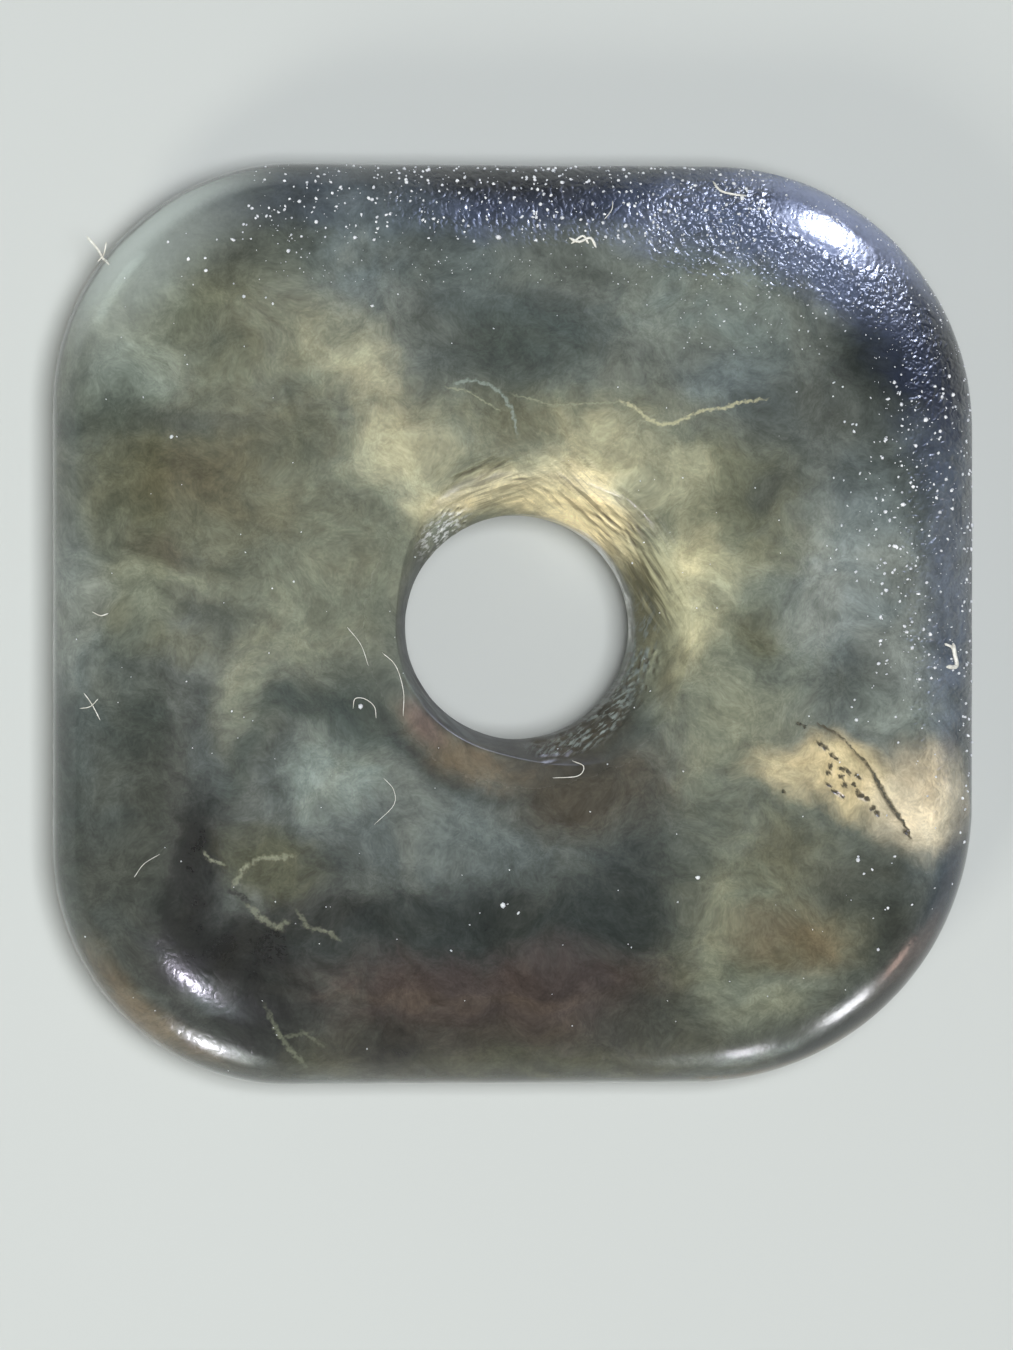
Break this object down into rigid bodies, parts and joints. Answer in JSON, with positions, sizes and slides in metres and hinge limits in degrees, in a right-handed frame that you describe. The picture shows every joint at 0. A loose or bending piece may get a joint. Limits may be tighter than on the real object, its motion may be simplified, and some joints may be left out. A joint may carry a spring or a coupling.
{
  "type": "jade bi disc",
  "caption": "Small rounded-square bi disc of cloudy polished jade, with a central round bore that flares at each face and a fully rounded rim.",
  "frame": {"origin": "centre of the resting underside's outline, at the foot of the plaque", "axes": "+Z through the thickness, out of the front face; +X to the right edge of the front face; +Y to its top edge"},
  "size_m": [0.0242, 0.024, 0.0046],
  "materials": {
    "jade": "hand polished, cloudy grey-green, slightly translucent"
  },
  "bodies": {
    "root": {"jade_bi": "jade"}
  },
  "joints": []
}
